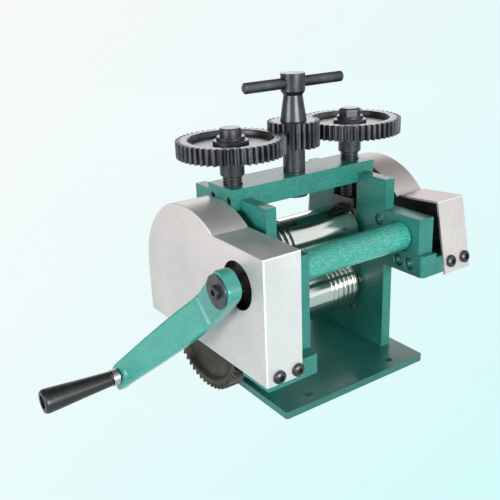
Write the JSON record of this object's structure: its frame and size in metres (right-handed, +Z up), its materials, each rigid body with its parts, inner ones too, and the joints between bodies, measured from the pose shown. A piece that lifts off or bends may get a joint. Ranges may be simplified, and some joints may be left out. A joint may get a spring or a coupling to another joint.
{
  "type": "jewellers rolling mill",
  "caption": "Bench rolling mill with grooved upper and lower rolls, a cranked drive under sheet covers, and a T-handle that turns two adjusting screws through gears.",
  "frame": {"origin": "centre of the base bolt pattern, on the underside of the base plate, under the middle of the rolls", "axes": "+X along the rolls away from the crank, -Y to the side the crank shaft is on, +Z up from the bench"},
  "size_m": [0.2779, 0.1541, 0.203],
  "materials": {
    "paint": "satin teal-green paint",
    "hammer_paint": "hammered teal-green paint",
    "cover_sheet": "satin sheet",
    "bronze": "turned bronze",
    "roll_steel": "mirror-ground steel",
    "block_steel": "ground steel",
    "bright_steel": "bright turned steel",
    "blacked_steel": "black oxide on machined steel",
    "grip_plastic": "satin black plastic"
  },
  "bodies": {
    "frame": {"base_plate": "paint", "left_side_plate": "paint", "right_side_plate": "paint", "plate_screws": "blacked_steel", "bridge": "paint", "bridge_grub_screws": "blacked_steel", "left_screw_nut": "bronze", "right_screw_nut": "bronze", "front_tube": "hammer_paint", "left_shaft_block": "paint", "right_shaft_block": "paint", "block_screws": "blacked_steel", "left_shaft_bush": "bronze", "right_shaft_bush": "bronze", "left_cover_bracket": "paint", "right_cover_bracket": "paint", "left_cover_bar": "paint", "right_cover_bar": "paint", "bracket_screws": "blacked_steel", "left_cover": "cover_sheet", "right_cover": "cover_sheet", "cover_screws": "blacked_steel", "lower_left_block": "block_steel", "lower_right_block": "block_steel", "lower_left_bush": "bronze", "lower_right_bush": "bronze", "lower_thrust_rings": "bronze", "idler_pin": "bright_steel", "guide_screw": "bright_steel"},
    "crank": {"crank_shaft": "bright_steel", "crank_pinion": "blacked_steel", "shaft_collar": "blacked_steel", "crank_arm": "paint", "crank_bolt": "blacked_steel", "grip_pin": "bright_steel"},
    "grip": {"grip": "grip_plastic"},
    "idler": {"idler_gear": "blacked_steel"},
    "lower_roll": {"lower_roll": "roll_steel", "drive_gear": "blacked_steel", "lower_tie_gear": "blacked_steel", "lower_end_rings": "blacked_steel"},
    "carriage": {"upper_left_block": "block_steel", "upper_right_block": "block_steel", "upper_left_bush": "bronze", "upper_right_bush": "bronze", "upper_thrust_rings": "bronze", "left_keeper": "blacked_steel", "right_keeper": "blacked_steel"},
    "upper_roll": {"upper_roll": "roll_steel", "upper_tie_gear": "blacked_steel", "upper_end_ring": "blacked_steel"},
    "left_screw": {"left_screw": "blacked_steel", "left_screw_gear": "blacked_steel", "left_screw_cap": "blacked_steel"},
    "right_screw": {"right_screw": "blacked_steel", "right_screw_gear": "blacked_steel", "right_screw_cap": "blacked_steel"},
    "t_handle": {"centre_pinion": "blacked_steel", "t_socket": "blacked_steel", "t_bar": "blacked_steel"}
  },
  "joints": [
    {"name": "crank_turn", "type": "hinge", "parent": "frame", "child": "crank", "pos_m": [0, -0.0554, 0.0952], "axis": [1, 0, 0], "continuous": true},
    {"name": "grip_spin", "type": "hinge", "parent": "crank", "child": "grip", "pos_m": [-0.16, 0.02197, 0.01701], "axis": [1, 0, 0], "continuous": true},
    {"name": "idler_turn", "type": "hinge", "parent": "frame", "child": "idler", "pos_m": [-0.075, -0.05057, 0.06787], "axis": [1, 0, 0], "continuous": true},
    {"name": "lower_roll_turn", "type": "hinge", "parent": "frame", "child": "lower_roll", "pos_m": [0, 0, 0.045], "axis": [1, 0, 0], "continuous": true},
    {"name": "carriage_slide", "type": "slide", "parent": "frame", "child": "carriage", "axis": [0, 0, 1], "range_m": [0, 0.004]},
    {"name": "upper_roll_turn", "type": "hinge", "parent": "carriage", "child": "upper_roll", "pos_m": [0, 0, 0.0853], "axis": [1, 0, 0], "continuous": true},
    {"name": "left_screw_turn", "type": "hinge", "parent": "carriage", "child": "left_screw", "pos_m": [-0.05, 0, 0.15], "axis": [0, 0, 1], "range_deg": [0, 721]},
    {"name": "right_screw_turn", "type": "hinge", "parent": "carriage", "child": "right_screw", "pos_m": [0.05, 0, 0.15], "axis": [0, 0, 1], "range_deg": [0, 721]},
    {"name": "t_handle_turn", "type": "hinge", "parent": "frame", "child": "t_handle", "pos_m": [0, 0, 0.15], "axis": [0, 0, 1], "range_deg": [-1501, 0]}
  ],
  "couplings": [
    {"joint": "idler_turn", "follows": "crank_turn", "ratio": -1.0556},
    {"joint": "lower_roll_turn", "follows": "crank_turn", "ratio": 0.33929},
    {"joint": "upper_roll_turn", "follows": "crank_turn", "ratio": -0.33929},
    {"joint": "left_screw_turn", "follows": "carriage_slide", "rad_per_m": 3141.6},
    {"joint": "right_screw_turn", "follows": "carriage_slide", "rad_per_m": 3141.6},
    {"joint": "t_handle_turn", "follows": "carriage_slide", "rad_per_m": -6545}
  ]
}
